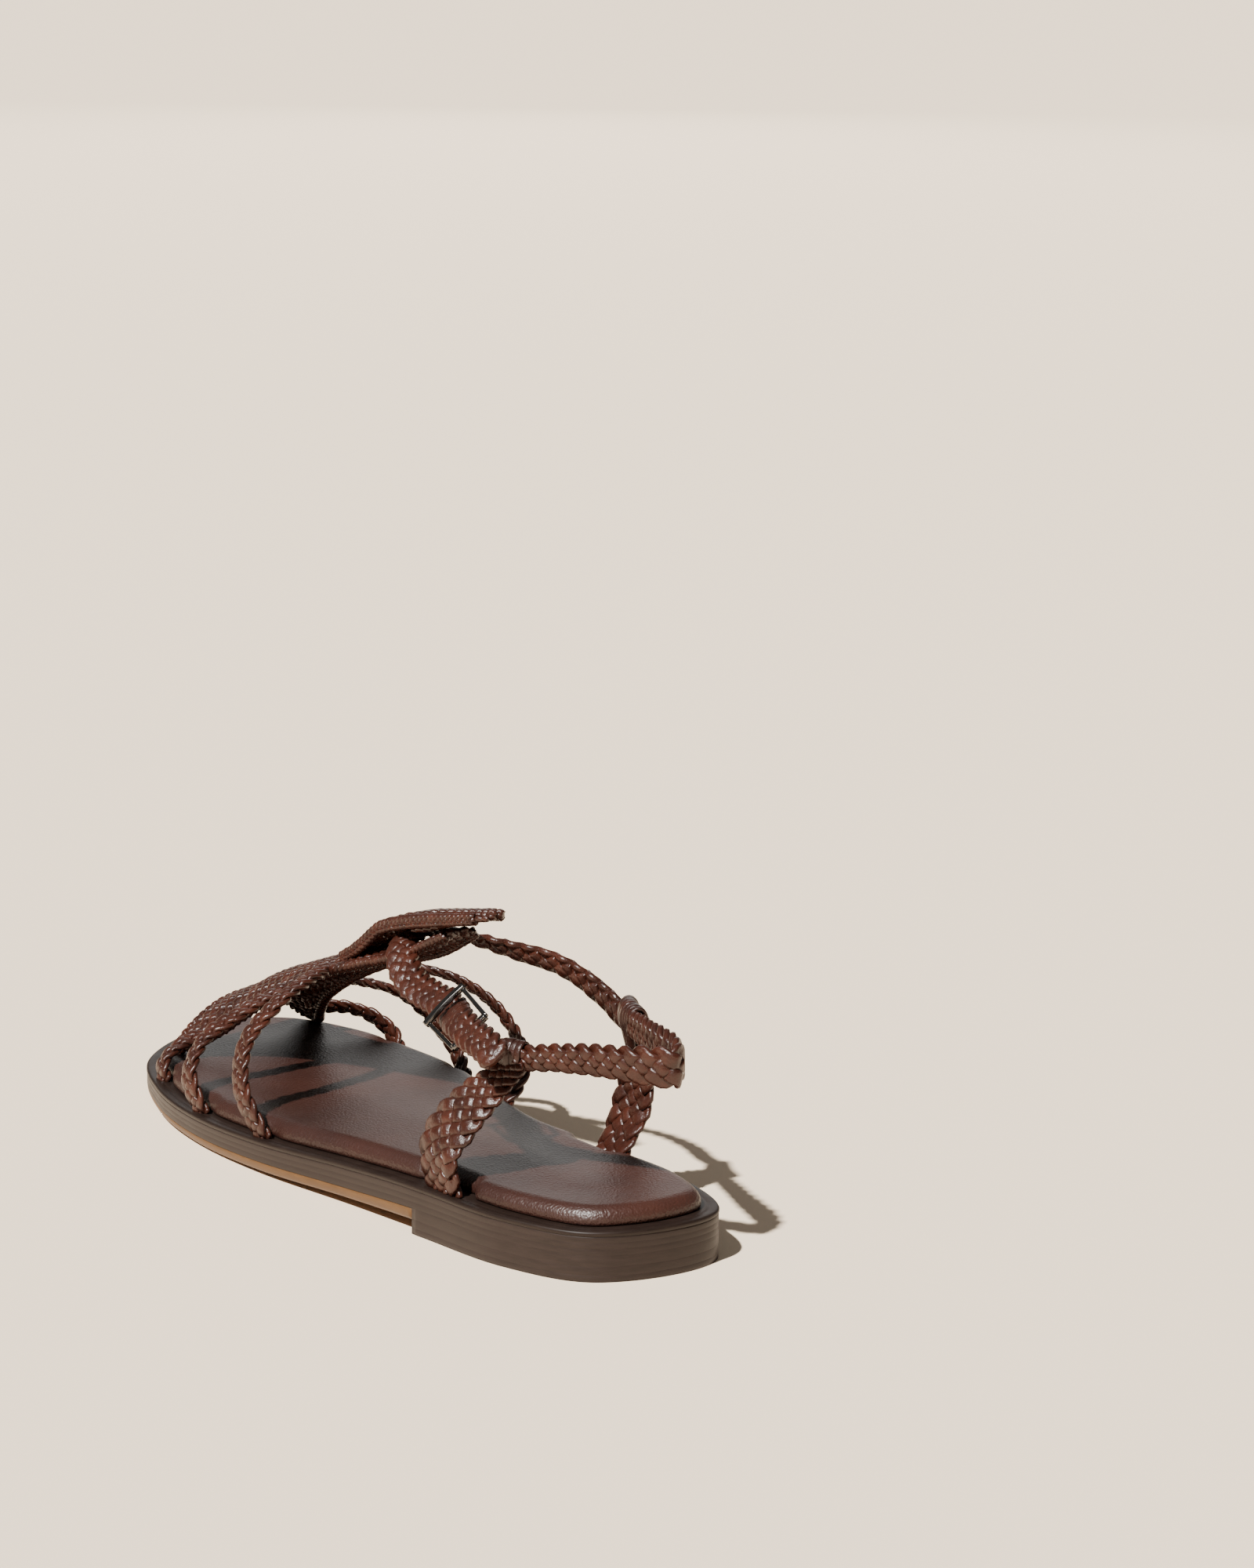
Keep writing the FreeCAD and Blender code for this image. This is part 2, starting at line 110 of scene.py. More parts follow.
def smooth(points, step=0.4, closed=False):
    """Catmull-Rom curve through the points, resampled evenly about every step millimetres."""
    pts = np.asarray(points, float)
    if closed:
        pts = np.vstack([pts[-1:], pts, pts[:2]])
    else:
        pts = np.vstack([2 * pts[0] - pts[1], pts, 2 * pts[-1] - pts[-2]])
    knots = np.concatenate([[0], np.cumsum(np.linalg.norm(np.diff(pts, axis=0), axis=1) ** CENTRIPETAL)])
    out = []
    for i in range(1, len(pts) - 2):
        t0, t1, t2, t3 = knots[i - 1:i + 3]
        t = np.linspace(t1, t2, SPAN_STEPS, endpoint=False)[:, None]
        a1 = (t1 - t) / (t1 - t0) * pts[i - 1] + (t - t0) / (t1 - t0) * pts[i]
        a2 = (t2 - t) / (t2 - t1) * pts[i] + (t - t1) / (t2 - t1) * pts[i + 1]
        a3 = (t3 - t) / (t3 - t2) * pts[i + 1] + (t - t2) / (t3 - t2) * pts[i + 2]
        b1 = (t2 - t) / (t2 - t0) * a1 + (t - t0) / (t2 - t0) * a2
        b2 = (t3 - t) / (t3 - t1) * a2 + (t - t1) / (t3 - t1) * a3
        out.append((t2 - t) / (t2 - t1) * b1 + (t - t1) / (t2 - t1) * b2)
    out.append(pts[-2][None])
    curve = np.vstack(out)
    run = run_along(curve)
    count = max(int(run[-1] / step), FEWEST_STEPS) + 1
    even = np.linspace(0, run[-1], count)
    return np.stack([np.interp(even, run, curve[:, k]) for k in range(3)], 1)


def profile(table, y):
    """Smooth height of a lengthwise profile at y."""
    curve = smooth([(a, b, 0) for a, b in table], 1.0)
    return np.interp(y, curve[:, 0], curve[:, 1])


def tangents(path):
    return unit(np.gradient(path, axis=0))


class Ribbon:
    """A strap's middle surface: path, outward normal and the direction across it."""

    def __init__(self, points, outward, step=0.35):
        self.path = smooth(points, step)
        self.run = run_along(self.path)
        self.length = self.run[-1]
        self.along = tangents(self.path)
        out = np.array([outward(p) for p in self.path], float)
        self.across = unit(np.cross(out, self.along))
        self.normal = unit(np.cross(self.along, self.across))

    def at(self, u, v, h):
        """Points at distance u along, v across and h out, each an array."""
        def pick(field):
            return np.stack([np.interp(u, self.run, field[:, k]) for k in range(3)], 1)
        return pick(self.path) + pick(self.across) * v[:, None] + pick(self.normal) * h[:, None]

    def normal_at(self, u):
        return unit(np.stack([np.interp(u, self.run, self.normal[:, k]) for k in range(3)], 1))


class Build:
    """Collects the vertices and faces of one piece, in millimetres."""

    def __init__(self):
        self.verts, self.faces, self.count = [], [], 0

    def add(self, verts, faces):
        self.faces += [tuple(i + self.count for i in f) for f in faces]
        self.verts.append(np.asarray(verts, float))
        self.count += len(verts)

    def thong(self, path, normals, half_wide, half_thick, segments=10, closed=False, square=0.55):
        """A strand of flat leather with rounded edges, swept along a path. Its section is an ellipse where
        square is 1, and nears a rectangle as square nears 0."""
        path = np.asarray(path, float)
        n = len(path)
        if closed:
            along = unit(np.roll(path, -1, 0) - np.roll(path, 1, 0))
        else:
            along = tangents(path)
        side = unit(np.cross(along, normals))
        up = unit(np.cross(side, along))
        turn = np.linspace(0, 2 * math.pi, segments, endpoint=False)
        c, s = np.cos(turn), np.sin(turn)
        ca = np.sign(c) * np.abs(c) ** square
        sa = np.sign(s) * np.abs(s) ** square
        wide = np.broadcast_to(np.asarray(half_wide, float), (n,))[:, None, None]
        thick = np.broadcast_to(np.asarray(half_thick, float), (n,))[:, None, None]
        across, out = ca[None, :, None], sa[None, :, None]
        ring = path[:, None] + side[:, None] * wide * across + up[:, None] * thick * out
        verts = ring.reshape(-1, 3)
        faces = []
        last = n if closed else n - 1
        for i in range(last):
            j = (i + 1) % n
            for k in range(segments):
                m = (k + 1) % segments
                faces.append((i * segments + k, i * segments + m, j * segments + m, j * segments + k))
        if not closed:
            faces.append(tuple(range(segments)))
            faces.append(tuple((n - 1) * segments + k for k in reversed(range(segments))))
        self.add(verts, faces)

    def grid(self, points):
        """Quads over a (rows, columns, 3) array of points, whose columns close into a ring."""
        points = np.asarray(points, float)
        rows, cols = points.shape[:2]
        faces = []
        for i in range(rows - 1):
            for j in range(cols):
                a, b = i * cols + j, i * cols + (j + 1) % cols
                faces.append((a, b, b + cols, a + cols))
        self.add(points.reshape(-1, 3), faces)

    def piece(self, name, body, material, nodes=()):
        verts = np.vstack(self.verts) * MM + BASE
        mesh = bpy.data.meshes.new(name)
        mesh.from_pydata(verts.tolist(), [], self.faces)
        mesh.validate()
        tidy_normals(mesh)
        for polygon in mesh.polygons:
            polygon.use_smooth = True
        obj = bpy.data.objects.new(name, mesh)
        bpy.context.scene.collection.objects.link(obj)
        obj.data.materials.append(material)
        if body is not None:
            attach(obj, body)
        if nodes:
            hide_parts(*nodes)
        return obj


def tidy_normals(mesh):
    bm = bmesh.new()
    bm.from_mesh(mesh)
    bmesh.ops.recalc_face_normals(bm, faces=bm.faces)
    bm.to_mesh(mesh)
    bm.free()


# ---- braids -----------------------------------------------------------------------------------------

# Each style: thongs, width of one as a share of the braid's, and length of its zigzag in braid widths.
BRAIDS = {"toe": (4, 0.36, 2.35), "inner_ankle": (3, 0.43, 1.75), "outer_ankle": (4, 0.355, 1.62),
          "heel": (4, 0.35, 1.85), "quarter": (6, 0.215, 1.65), "stub": (5, 0.27, 1.8),
          "tongue": (5, 0.265, 1.75), "chain": (3, 0.41, 1.75)}


STEADY, EASED = 0.82, 0.18       # shares of a thong's sideways run at an even pace, and slowing at the edges
EDGE_ROOM = 1.08                 # room that the outer thongs keep for their own width
THONG_FULL = 1.06                # a thong's width against its even share
LIFT = 1.05                      # height of a crossing against half of the braid's thickness
WOBBLE = 0.05                    # unevenness of handwork, as a share of a width and in millimetres of height
STEPS_PER_CROSSING = 5
TWO_DEEP = 0.25                  # half thickness of a thong: the braid is two thongs deep


def braid(build, ribbon, widths, thick, style, seed, camber=0.0, end=None):
    """Flat braid of thongs that each run from edge to edge, over one and under the next."""
    draw = random.Random(seed)
    end = ribbon.length if end is None else end
    strands, share, pitch = BRAIDS[style]
    keys = np.linspace(0, 1, len(widths))
    fine = np.linspace(0.0, end, int(end / 0.05) + 2)
    wide_fine = np.interp(fine / end, keys, widths)
    phase_fine = np.concatenate([[0], np.cumsum(np.diff(fine) / (pitch * wide_fine[:-1]))])
    steps = max(int(phase_fine[-1] * 2 * strands * STEPS_PER_CROSSING), 8)
    phase = np.linspace(0, phase_fine[-1], steps + 1)
    u = np.interp(phase, phase_fine, fine)
    wide = np.interp(u, fine, wide_fine)
    for k in range(strands):
        p = (phase + k / strands) % 1.0
        half = 0.5
        travel = np.where(p < half, p / half, 2 - p / half)
        ease = 0.5 - 0.5 * np.cos(np.pi * travel)
        swing = STEADY * travel + EASED * ease
        v = (swing - 0.5) * wide * (1 - share * EDGE_ROOM)
        side = np.where(p < half, 1.0, -1.0)
        weave = side * np.cos(2 * strands * np.pi * p)
        to_edge = np.minimum(np.minimum(p % half, half - p % half), 0.25) * 2 * strands
        hold = side * np.where((p % half) < half / 2, np.cos(np.pi), np.cos((strands - 1) * np.pi))
        edge = to_edge < 1.0
        weave = np.where(edge, hold * np.sin(np.pi / 2 * np.clip(to_edge, 0, 1)), weave)
        rough = 1 + WOBBLE * np.sin(u * draw.uniform(0.5, 1.1) + draw.uniform(0, 6))
        rough = rough + draw.uniform(-0.03, 0.03)
        h = weave * thick * TWO_DEEP * LIFT - camber * (v / np.maximum(wide / 2, 0.1)) ** 2
        h = h + WOBBLE * np.sin(u * draw.uniform(0.8, 1.6) + draw.uniform(0, 6))
        path = ribbon.at(u, v, h)
        half_wide = wide * share * 0.5 * THONG_FULL * rough
        build.thong(path, ribbon.normal_at(u), half_wide, thick * TWO_DEEP * rough)


WEAVE_FULL = 0.485               # half width of a woven thong against the spacing
WEAVE_END = 0.4                  # how far the weave stops short of the surface's ends
WEAVE_STEP = 0.18                # step along a thong, in crossings
SHORTEST = 6                     # steps: shorter pieces of thong are left out


def weave_surface(build, surface, length, half_at, wide, thick, seed, margin):
    """Plain diagonal weave over a surface(s, v) -> (points, normals), cut to half_at(s)."""
    draw = random.Random(seed)
    root = math.sqrt(2.0)
    reach = max(half_at(s) for s in np.linspace(0, length, 60))
    count = int((length + reach) * root / wide) + 2
    for family in (0, 1):
        for i in range(-count, count):
            t = np.arange(-count * 1.0, count * 1.0, WEAVE_STEP)
            s = (t + i) * wide / root
            v = (t - i if family == 0 else i - t) * wide / root
            inside = (s > WEAVE_END) & (s < length - WEAVE_END)
            limit = np.array([half_at(x) for x in np.clip(s, 0, length)]) - margin
            inside &= np.abs(v) < limit
            spots = np.flatnonzero(inside)
            for part in np.split(spots, np.flatnonzero(np.diff(spots) > 1) + 1):
                if len(part) < SHORTEST:
                    continue
                sign = 1.0 if family == 0 else -1.0
                h = sign * np.cos(np.pi * (t[part] + i)) * thick * TWO_DEEP
                points, normals = surface(s[part], v[part])
                rough = 1 + WOBBLE * np.sin(t[part] * draw.uniform(0.6, 1.4) + draw.uniform(0, 6))
                build.thong(points + normals * h[:, None], normals, wide * WEAVE_FULL * rough,
                            thick * TWO_DEEP * rough, 8)


# ---- materials --------------------------------------------------------------------------------------

def shader(name):
    mat = bpy.data.materials.new(name)
    mat.use_nodes = True
    tree = mat.node_tree
    return mat, tree.nodes, tree.links, tree.nodes["Principled BSDF"]


def noise(nodes, links, coords, scale, detail, rough):
    node = nodes.new("ShaderNodeTexNoise")
    node.inputs["Scale"].default_value = scale
    node.inputs["Detail"].default_value = detail
    node.inputs["Roughness"].default_value = rough
    links.new(coords, node.inputs["Vector"])
    return node.outputs["Fac"]


def ramp(nodes, links, value, stops):
    node = nodes.new("ShaderNodeValToRGB")
    links.new(value, node.inputs["Fac"])
    element = node.color_ramp.elements
    while len(element) < len(stops):
        element.new(0.5)
    for e, (at, colour) in zip(element, stops):
        e.position = at
        e.color = (*colour, 1.0)
    return node.outputs["Color"]


def object_coords(nodes, links, scale=(1, 1, 1)):
    coords = nodes.new("ShaderNodeTexCoord")
    mapping = nodes.new("ShaderNodeMapping")
    mapping.inputs["Scale"].default_value = scale
    links.new(coords.outputs["Object"], mapping.inputs["Vector"])
    return mapping.outputs["Vector"]


def bump(nodes, links, heights, bsdf):
    """Chains bumps of (value, distance in metres, strength)."""
    last = None
    for value, distance, strength in heights:
        node = nodes.new("ShaderNodeBump")
        node.inputs["Strength"].default_value = strength
        node.inputs["Distance"].default_value = distance
        links.new(value, node.inputs["Height"])
        if last is not None:
            links.new(last, node.inputs["Normal"])
        last = node.outputs["Normal"]
    links.new(last, bsdf.inputs["Normal"])


def wear(nodes, links, pattern, low, high, bsdf):
    """Roughness that follows a pattern, from low to high."""
    node = nodes.new("ShaderNodeMapRange")
    node.inputs["To Min"].default_value = low
    node.inputs["To Max"].default_value = high
    links.new(pattern, node.inputs["Value"])
    links.new(node.outputs["Result"], bsdf.inputs["Roughness"])


def braided_leather(name, dark, mid, light, roughness):
    mat, nodes, links, bsdf = shader(name)
    at = object_coords(nodes, links)
    patch = noise(nodes, links, at, scale=160.0, detail=5.0, rough=0.65)
    links.new(ramp(nodes, links, patch, [(0.3, dark), (0.52, mid), (0.75, light)]), bsdf.inputs["Base Color"])
    crease = noise(nodes, links, at, scale=900.0, detail=3.0, rough=0.55)
    grain = noise(nodes, links, at, scale=3200.0, detail=2.0, rough=0.5)
    wear(nodes, links, crease, roughness - 0.08, roughness + 0.16, bsdf)
    bsdf.inputs["Specular IOR Level"].default_value = 0.42
    bump(nodes, links, [(crease, 0.0003, 0.7), (grain, 0.00008, 0.4)], bsdf)
    return mat


def footbed_leather():
    """Smooth leather with a fine pebbled grain."""
    mat, nodes, links, bsdf = shader("footbed_leather")
    at = object_coords(nodes, links)
    patch = noise(nodes, links, at, scale=28.0, detail=5.0, rough=0.6)
    tone = ramp(nodes, links, patch, [(0.3, (0.020, 0.0056, 0.0034)), (0.55, (0.030, 0.0085, 0.005)),
                                      (0.8, (0.044, 0.0135, 0.008))])
    links.new(tone, bsdf.inputs["Base Color"])
    pebble = nodes.new("ShaderNodeTexVoronoi")
    pebble.feature = "SMOOTH_F1"
    pebble.inputs["Scale"].default_value = 1500.0
    pebble.inputs["Smoothness"].default_value = 0.6
    warp = nodes.new("ShaderNodeVectorMath")
    warp.operation = "MULTIPLY_ADD"
    shake = nodes.new("ShaderNodeTexNoise")
    shake.inputs["Scale"].default_value = 420.0
    links.new(at, shake.inputs["Vector"])
    links.new(shake.outputs["Color"], warp.inputs[0])
    warp.inputs[1].default_value = (0.0012, 0.0012, 0.0012)
    links.new(at, warp.inputs[2])
    links.new(warp.outputs["Vector"], pebble.inputs["Vector"])
    bsdf.inputs["Roughness"].default_value = 0.44
    bsdf.inputs["Specular IOR Level"].default_value = 0.62
    bump(nodes, links, [(pebble.outputs["Distance"], 0.00026, 0.5)], bsdf)
    return mat


def edge_leather(name, dark, light):
    """Stacked and burnished leather: fine streaks along the edge."""
    mat, nodes, links, bsdf = shader(name)
    at = object_coords(nodes, links, (1.0, 1.0, 7.0))
    streak = noise(nodes, links, at, scale=130.0, detail=6.0, rough=0.7)
    links.new(ramp(nodes, links, streak, [(0.32, dark), (0.72, light)]), bsdf.inputs["Base Color"])
    finer = object_coords(nodes, links, (1.0, 1.0, 9.0))
    fine = noise(nodes, links, finer, scale=375.0, detail=4.0, rough=0.6)
    wear(nodes, links, streak, 0.34, 0.6, bsdf)
    bsdf.inputs["Specular IOR Level"].default_value = 0.25
    bump(nodes, links, [(streak, 0.00008, 0.2), (fine, 0.00004, 0.3)], bsdf)
    return mat


def metal(name, colour, roughness):
    mat, nodes, links, bsdf = shader(name)
    at = object_coords(nodes, links)
    smear = noise(nodes, links, at, scale=350.0, detail=4.0, rough=0.6)
    bsdf.inputs["Metallic"].default_value = 1.0
    links.new(ramp(nodes, links, smear, [(0.3, [c * 0.8 for c in colour]), (0.7, colour)]),
              bsdf.inputs["Base Color"])
    wear(nodes, links, smear, roughness * 0.7, roughness * 1.5, bsdf)
    scratch = noise(nodes, links, at, scale=2200.0, detail=4.0, rough=0.6)
    bump(nodes, links, [(scratch, 0.00003, 0.3)], bsdf)
    return mat


BRAID = braided_leather("braid_leather", (0.019, 0.0048, 0.0026), (0.037, 0.0094, 0.005),
                        (0.061, 0.0162, 0.0088), 0.31)
# Same leather as the braid but darker: the darkness is painted shade for the loops, which sit in the shadow
# of the straps.
SHADED_LOOP_LEATHER = braided_leather("smooth_leather", (0.014, 0.004, 0.0024), (0.026, 0.0072, 0.0043),
                         (0.042, 0.012, 0.0072), 0.32)
FOOTBED = footbed_leather()
EDGE = edge_leather("edge_leather", (0.0165, 0.0104, 0.0086), (0.027, 0.0172, 0.0142))
WELT = edge_leather("welt_leather", (0.010, 0.0056, 0.0041), (0.018, 0.0104, 0.0078))
TAN = edge_leather("outsole_leather", (0.085, 0.041, 0.015), (0.135, 0.068, 0.027))
METAL = metal("gunmetal", (0.16, 0.155, 0.15), 0.16)
STEEL = metal("steel", (0.55, 0.55, 0.54), 0.35)
FOAM = braided_leather("footbed_foam", (0.45, 0.36, 0.26), (0.55, 0.45, 0.34), (0.62, 0.52, 0.40), 0.8)


# ---- sole -------------------------------------------------------------------------------------------

EDGE_STEPS = 420                 # points round the sole
FILL_STEPS = 14                  # shrinking rings that close a face
END_ROUNDING = 22                # how far the midline of a face stops short of its ends


def outline(inset):
    """Points round the sole, moved inwards by inset, with their outward directions."""
    ring = smooth([(x, y, 0) for x, y in OUTLINE], 0.5, closed=True)[:-1]
    pick = np.linspace(0, len(ring), EDGE_STEPS, endpoint=False).astype(int)
    along = unit(np.roll(ring, -3, 0) - np.roll(ring, 3, 0))
    out = np.stack([-along[:, 1], along[:, 0], np.zeros(len(ring))], 1)
    return (ring - out * inset)[pick], out[pick]


def fill(build, ring, z_of):
    """Closes a ring with shrinking copies of itself about its midline."""
    back, front = ring[:, 1].min() + END_ROUNDING, ring[:, 1].max() - END_ROUNDING
    rows = []
    for share in np.linspace(0, 1, FILL_STEPS):
        centre = ring.copy()
        centre[:, 1] = np.clip(ring[:, 1], back, front)
        centre[:, 0] = -4.0 + (centre[:, 1] - 125) * 0.02
        row = ring * (1 - share) + centre * share
        row[:, 2] = z_of(row, share)
        rows.append(row)
    build.grid(np.array(rows))


def wall(build, rings):
    build.grid(np.array(rings))


def clip(ring, base, at, keep_back):
    """The part of a ring behind (or ahead of) a straight cut across the sole, closed by that cut."""
    inside = base[:, 1] < at if keep_back else base[:, 1] > at
    first = np.flatnonzero(inside & ~np.roll(inside, 1))[0]
    kept = np.roll(ring, -first, 0)[np.roll(inside, -first)]
    kept[0, 1] = kept[-1, 1] = at
    share = np.linspace(0, 1, 30)[1:-1, None]
    return np.vstack([kept, kept[-1] * (1 - share) + kept[0] * share])


def layer(name, low_of, high_of, insets, material, nodes, cut=None):
    """One layer of the sole: its wall follows insets as (share of height, inset) and both faces are closed.
    cut is (y, whether the part behind it is kept)."""
    build = Build()
    rings = []
    base, _ = outline(0.0)
    for share, inset in insets:
        ring, _ = outline(inset)
        if cut is not None:
            ring = clip(ring, base, *cut)
        ring[:, 2] = low_of(ring[:, 1]) * (1 - share) + high_of(ring[:, 1]) * share
        rings.append(ring)
    wall(build, rings)
    fill(build, rings[-1], lambda row, share: high_of(row[:, 1]))
    fill(build, rings[0], lambda row, share: low_of(row[:, 1]))
    return build.piece(name, SHOE, material, nodes)


def underside(y):
    return profile(UNDERSIDE, y)


def outsole_top(y):
    return profile(OUTSOLE_TOP, y)


def welt_top(y):
    return profile(WELT_TOP, y)


def welt_bottom(y):
    return welt_top(y) - WELT_THICK


def bed_top(y):
    return profile(FOOTBED_TOP, y)


def stack_profile(lines, depth=0.03):
    """Wall of a stacked edge: faint grooves at the given shares of its height, edges rounded."""
    spots = [(0.0, 0.03), (0.04, 0.01), (0.1, 0.0)]
    for line in lines:
        spots += [(line - 0.02, 0.0), (line, depth), (line + 0.02, 0.0)]
    spots += [(0.92, 0.0), (0.97, 0.03), (1.0, 0.1)]
    return sorted(spots)


WELT_WALL = [(0.0, 0.16), (0.12, 0.0), (0.3, -0.12), (0.7, -0.12), (0.93, 0.1), (1.0, 0.6), (1.0, 2.2),
             (0.9, 2.5), (1.0, 2.8), (1.0, 3.4)]
OUTSOLE_WALL = [(0.0, 2.4), (0.12, 1.3), (0.35, 0.5), (0.7, 0.12), (0.94, 0.15), (1.0, 0.4)]
HEEL_CLEAR = 0.15                # the outsole stops this far ahead of the heel block


def make_sole():
    layer("midsole_stack", outsole_top, welt_bottom, stack_profile((0.36, 0.68)), EDGE,
          ["midsole"])
    layer("welt_top", welt_bottom, welt_top, WELT_WALL, WELT, ["welt", "insole_board"])
    layer("outsole_leather", underside, outsole_top, OUTSOLE_WALL, TAN, ["outsole"],
          cut=(HEEL_LENGTH + HEEL_CLEAR, False))
    layers = (("heel_top_lift", 0.0, TOP_PIECE_TOP, 0.3, "heel_top_piece"),
              ("heel_lower_lift", TOP_PIECE_TOP, LOWER_LIFT_TOP, 0.03, "heel_lift_lower"),
              ("heel_upper_lift", LOWER_LIFT_TOP, HEEL_HEIGHT, 0.03, "heel_lift_upper"))
    for name, low, high, bevel, node in layers:
        layer(name, lambda y, z=low: np.full_like(y, z), lambda y, z=high: np.full_like(y, z),
              [(0.0, bevel), (0.07, 0.0), (0.5, 0.0), (0.95, 0.0), (1.0, 0.03)], EDGE, [node],
              cut=(HEEL_LENGTH, True))


# ---- footbed ----------------------------------------------------------------------------------------

QUARTER_NOTCHES = ((-1, 45.0, 66.0), (1, 51.5, 72.5))     # side, and y from and to
TOE_FEET = {"lateral_1": (205, -1), "lateral_2": (168, -1), "lateral_3": (133, -1),
            "medial_1": (202, 1), "medial_2": (164, 1), "medial_3": (131, 1)}      # y and side
QUARTER_NOTCH_DEPTH = 2.6
TOE_NOTCH_DEPTH = 0.9
TOE_NOTCH_REACH = 3.6
FOOTBED_RIM = 4.0                # radius of the rolled rim, seen from above
RIM_SHARE = 0.78                 # share of the footbed's height that the roll takes up
DISH = 0.35                      # how deep the middle of the footbed is dished
CONTACT = 0.03                   # air between the footbed and the welt


def notch(ring):
    """How far the footbed's side is pressed in beside each strap."""
    push = np.zeros(len(ring))
    for side, y0, y1 in QUARTER_NOTCHES:
        on = np.sign(ring[:, 0] + 3) == side
        soft = 1 / (1 + np.exp(-(ring[:, 1] - y0) * 2.2)) - 1 / (1 + np.exp(-(ring[:, 1] - y1) * 1.1))
        push += np.where(on, QUARTER_NOTCH_DEPTH * soft, 0)
    for y, side in TOE_FEET.values():
        on = np.sign(ring[:, 0]) == side
        push += np.where(on, TOE_NOTCH_DEPTH * np.exp(-((ring[:, 1] - y) / TOE_NOTCH_REACH) ** 2), 0)
    return push


def footbed_ring(inset, height_of):
    """A ring of the footbed's wall; height_of(low, top) sets its height between the welt and the top."""
    base, out = outline(FOOTBED_INSET + inset)
    ring = base - out * notch(base)[:, None]
    ring[:, 2] = height_of(welt_top(ring[:, 1]) + CONTACT, bed_top(ring[:, 1]))
    return ring


def make_footbed():
    build = Build()
    rings = [footbed_ring(inset, lambda low, top, share=share: low + (top - low) * 0.22 * share)
             for share, inset in ((0.0, 1.4), (0.0, 0.5), (0.4, 0.06))]
    for turn in np.linspace(0, 90, 12):
        a = math.radians(turn)

        def rolled(low, top, a=a):
            rise = (top - low) * RIM_SHARE
            return top - rise * (1 - math.sin(a)) - 0.05
        rings.append(footbed_ring(FOOTBED_RIM * (1 - math.cos(a)), rolled))
    wall(build, rings)

    def top_of(row, share):
        dish = DISH * math.sin(math.pi * min(share * 1.15, 1.0))
        return bed_top(row[:, 1]) - 0.05 - dish * np.clip((row[:, 1] - 8) / 20, 0, 1)
    fill(build, rings[-1], top_of)
    fill(build, rings[0], lambda row, share: welt_top(row[:, 1]) + CONTACT)
    obj = build.piece("footbed_pad", SHOE, FOOTBED, ["footbed_cover", "footbed_core"])


# ---- straps -----------------------------------------------------------------------------------------

TOE_THICK = 2.6
QUARTER_THICK = 3.0
HEEL_STRAP_THICK = 3.6
FOOT_OUT = 1.3                   # how far a strap stands outside the footbed's edge
FOOT_DROP = 0.9                  # how far it starts below the welt's top


def from_line(x, z):
    """Outward direction round a lengthwise line at x, z."""
    return lambda p: np.array([p[0] - x, 0.0, p[2] - z])


def edge_x(y, side, inset):
    """Where the sole's edge, moved inwards by inset, stands at y."""
    ring, _ = outline(inset)
    near = ring[np.sign(ring[:, 0] + 3) == side]
    return near[np.argmin(np.abs(near[:, 1] - y)), 0]


def foot(y, side):
    """Start of a strap beside the footbed, a little way into the welt."""
    return (edge_x(y, side, FOOTBED_INSET) + side * FOOT_OUT, y, float(welt_top(y)) - FOOT_DROP)


def make_toe_straps():
    routes = {
        "lateral_1": [(-33.5, 208.5, 12), (-27, 210, 16.2), (-20.5, 209.5, 18.2)],
        "lateral_2": [(-44, 173, 17.5), (-37, 178, 25.5), (-26, 178, 31.5), (-9.5, 179.5, 37.0)],
        "lateral_3": [(-45.5, 140, 21), (-40.5, 147, 32.3), (-30, 149, 41.2), (-17, 155, 45.2),
                      (-7.0, 162, 45.8)],
        "medial_1": [(37.3, 207, 12.4), (32.5, 210.8, 17.2), (26.0, 213.5, 19.5), (17.5, 217, 19.8)],
        "medial_2": [(39, 174.5, 15), (35, 183, 23.5), (26, 186, 30.3), (10.5, 186.5, 35.4)],
        "medial_3": [(36.8, 133, 19), (36.3, 143, 31), (26, 149, 40.8), (8.0, 157, 46.6)]}
    for i, (key, route) in enumerate(routes.items()):
        side, number = key.split("_")
        name = f"{side}_toe_strap_{number}"
        build = Build()
        ribbon = Ribbon([foot(*TOE_FEET[key])] + route, from_line(0, 10))
        braid(build, ribbon, [7.9, 7.3, 7.0, 6.8, 6.0], TOE_THICK, "toe", 11 + i)
        build.piece(name + "_braid", SHOE, BRAID, [name])


def make_quarter_straps():
    wide = [18.0, 18.6, 17.6, 13.0, 7.8]
    routes = {
        "lateral_quarter_strap": ([foot(55, -1), (-34.8, 55, 24), (-30.0, 51, 34), (-24.4, 47, 41.0),
                                   (-20.2, 44.6, 45.5), (-18.6, 43.0, 48.0)], -1),
        "medial_quarter_strap": ([foot(62, 1), (27.2, 63.5, 23), (29, 62.5, 32), (28.4, 60.6, 40),
                                  (26.6, 59.0, 46)], 1)}
    for i, (name, (route, side)) in enumerate(routes.items()):
        build = Build()
        ribbon = Ribbon(route, lambda p: np.array([side, 0.0, 0.1]))
        braid(build, ribbon, wide, QUARTER_THICK, "quarter", 31 + i, camber=0.5)
        build.piece(name + "_braid", SHOE, BRAID, [name])


UP = np.array([0.0, 0.0, 1.0])
INNER_FORWARD = unit(np.array([6.0, 10.5, 0.0]))        # along the ankle strap, ahead of each loop
OUTER_FORWARD = unit(np.array([-3.2, 15.6, 0.0]))
INNER_BEHIND = unit(np.array([4.5, 18.0, -1.0]))        # and behind it
OUTER_BEHIND = unit(np.array([-6.0, 9.5, -1.0]))
OUTER_HANG = unit(np.array([-5.8, 4.0, -7.0]))          # how the lateral quarter strap falls from its loop
LOOP_TURN = np.linspace(-0.42 * math.pi, 1.42 * math.pi, 46)
LOOP_TALL = 4.3                  # half height and half depth of a loop
LOOP_DEEP = 2.65
LOOP_LEAN = 0.55                 # how far the outer strands lean in at the foot of the loop
FOOT_OUTSIDE = 9.0               # lengths of a strand's two ends below the loop's middle
FOOT_INSIDE = 8.5
